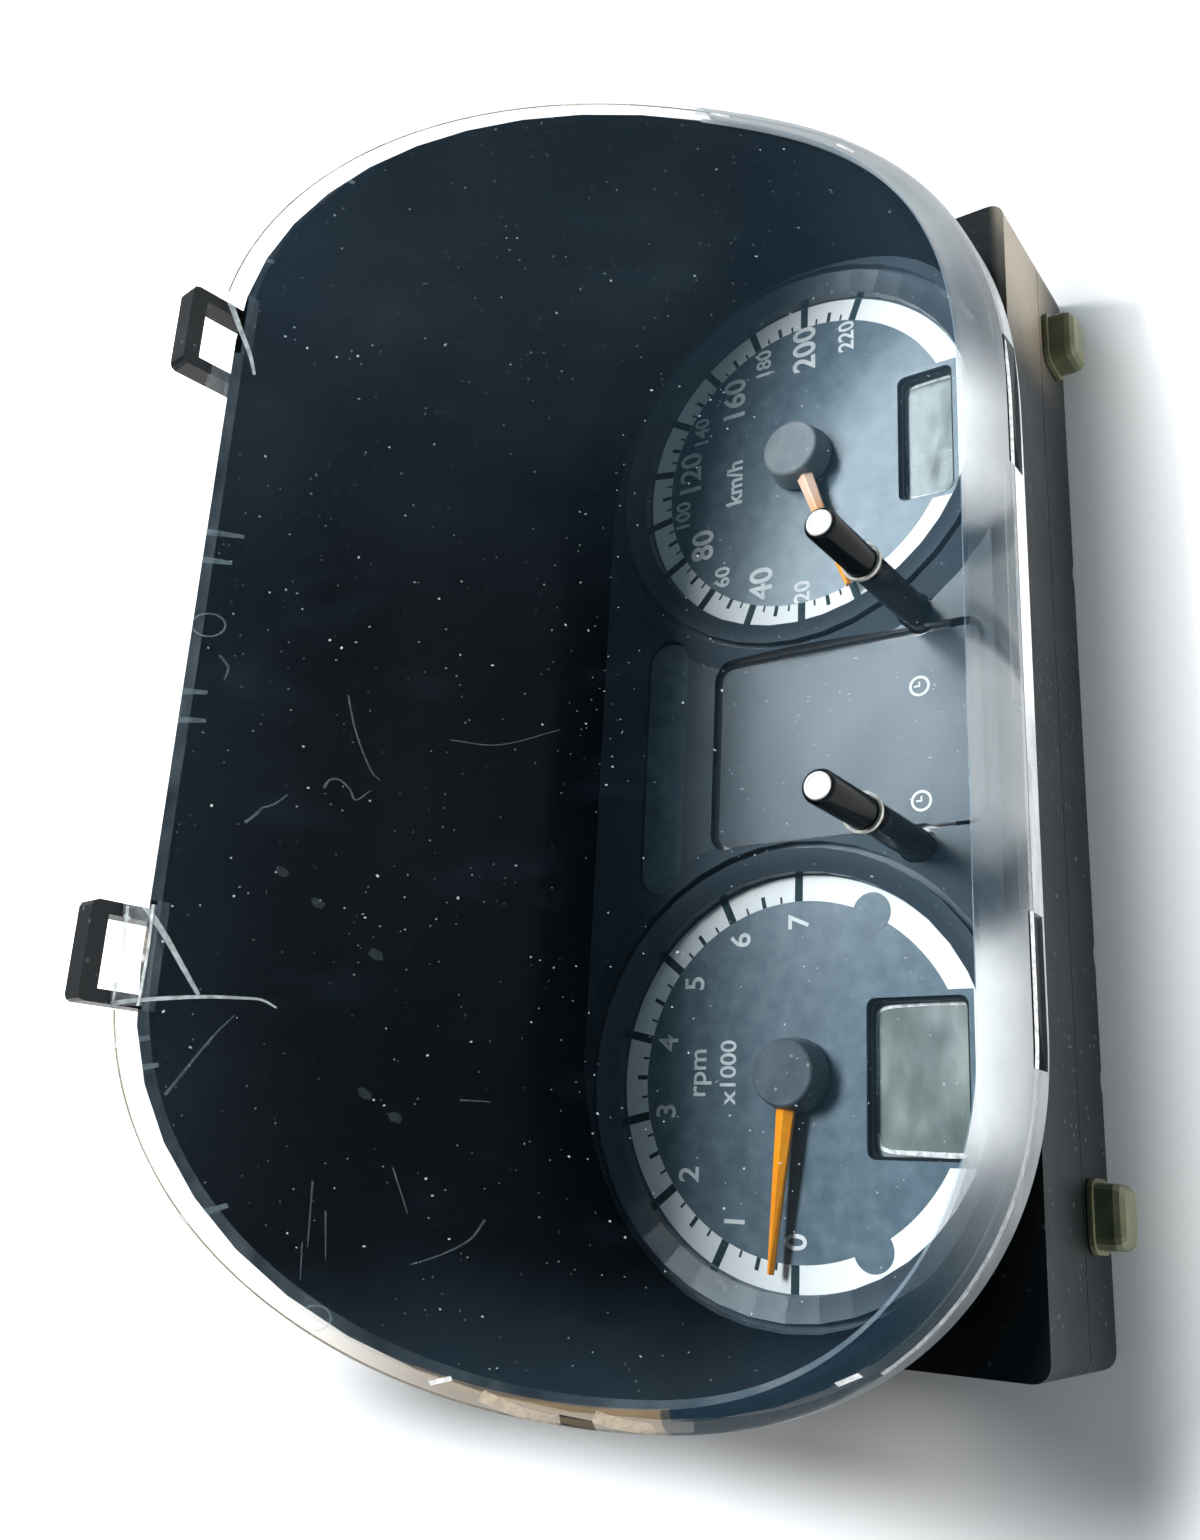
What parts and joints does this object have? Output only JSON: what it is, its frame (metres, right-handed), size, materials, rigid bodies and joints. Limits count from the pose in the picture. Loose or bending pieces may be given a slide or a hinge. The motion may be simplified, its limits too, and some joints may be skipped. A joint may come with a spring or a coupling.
{
  "type": "instrument cluster",
  "caption": "Instrument cluster: round rev counter and speedometer with small displays behind a slanted clear lens, push stalks, black housing, mounting lugs and locating clips.",
  "frame": {"origin": "centre of the bounding box in plan, at the rear cover's back face", "axes": "+X to the driver's right across the dials, +Y up on the dials, +Z towards the driver; the cluster lies on its back"},
  "size_m": [0.2934, 0.1464, 0.1842],
  "materials": {
    "black_plastic": "fine-grained black moulding",
    "mask_plastic": "matt dark grey moulding",
    "clear_plastic": "clear moulded lens, scratched and cracked",
    "white_plastic": "white reflector moulding",
    "printed_dial": "screen-printed polycarbonate",
    "orange_plastic": "bright orange translucent moulding",
    "display_glass": "grey-green liquid crystal glass",
    "olive_nylon": "natural olive nylon",
    "green_board": "solder-masked glass-fibre board",
    "zinc_steel": "zinc-plated steel",
    "chip_epoxy": "moulded component body",
    "bright_tip": "bright white"
  },
  "bodies": {
    "cluster": {"board_screw_1": "zinc_steel", "board_screw_2": "zinc_steel", "board_screw_3": "zinc_steel", "board_screw_4": "zinc_steel", "centre_panel": "mask_plastic", "circuit_board": "green_board", "cover_screw_1": "zinc_steel", "cover_screw_2": "zinc_steel", "cover_screw_3": "zinc_steel", "cover_screw_4": "zinc_steel", "cover_screw_5": "zinc_steel", "cover_screw_6": "zinc_steel", "dial_mask": "mask_plastic", "filter_capacitor_1": "chip_epoxy", "filter_capacitor_2": "chip_epoxy", "front_lens": "clear_plastic", "housing": "black_plastic", "left_locating_clip": "olive_nylon", "left_mounting_lug": "black_plastic", "left_push_switch": "chip_epoxy", "light_box": "white_plastic", "memory_chip": "chip_epoxy", "microcontroller": "chip_epoxy", "quartz_crystal": "zinc_steel", "rear_connector": "chip_epoxy", "rear_cover": "black_plastic", "right_locating_clip": "olive_nylon", "right_mounting_lug": "black_plastic", "right_push_switch": "chip_epoxy", "speedo_dial": "printed_dial", "speedo_lcd_diffuser": "white_plastic", "speedo_lcd_frame": "black_plastic", "speedo_lcd_glass": "display_glass", "speedo_motor": "chip_epoxy", "tacho_dial": "printed_dial", "tacho_lcd_diffuser": "white_plastic", "tacho_lcd_frame": "black_plastic", "tacho_lcd_glass": "display_glass", "tacho_motor": "chip_epoxy", "telltale_led_1": "white_plastic", "telltale_led_2": "white_plastic", "telltale_led_3": "white_plastic", "telltale_led_4": "white_plastic", "telltale_window": "printed_dial", "voltage_regulator": "chip_epoxy", "warning_buzzer": "chip_epoxy"},
    "tacho_needle": {"tacho_motor_shaft": "zinc_steel", "tacho_pointer": "orange_plastic", "tacho_hub_cap": "black_plastic"},
    "speedo_needle": {"speedo_motor_shaft": "zinc_steel", "speedo_pointer": "orange_plastic", "speedo_hub_cap": "black_plastic"},
    "left_button": {"left_push_stalk": "black_plastic", "left_stalk_cap": "bright_tip", "left_switch_plunger": "bright_tip"},
    "right_button": {"right_push_stalk": "black_plastic", "right_stalk_cap": "bright_tip", "right_switch_plunger": "bright_tip"}
  },
  "joints": [
    {"name": "tacho_turn", "type": "hinge", "parent": "cluster", "child": "tacho_needle", "pos_m": [-0.078, -0.01211, 0.0566], "axis": [0, 0, -1], "range_deg": [-7.5, 176]},
    {"name": "speedo_turn", "type": "hinge", "parent": "cluster", "child": "speedo_needle", "pos_m": [0.078, -0.01211, 0.0566], "axis": [0, 0, -1], "range_deg": [-2, 221]},
    {"name": "left_push", "type": "slide", "parent": "cluster", "child": "left_button", "axis": [0, 0, -1], "range_m": [0, 0.0012], "stiffness_N_per_m": 600, "springref_m": -0.001},
    {"name": "right_push", "type": "slide", "parent": "cluster", "child": "right_button", "axis": [0, 0, -1], "range_m": [0, 0.0012], "stiffness_N_per_m": 600, "springref_m": -0.001}
  ]
}
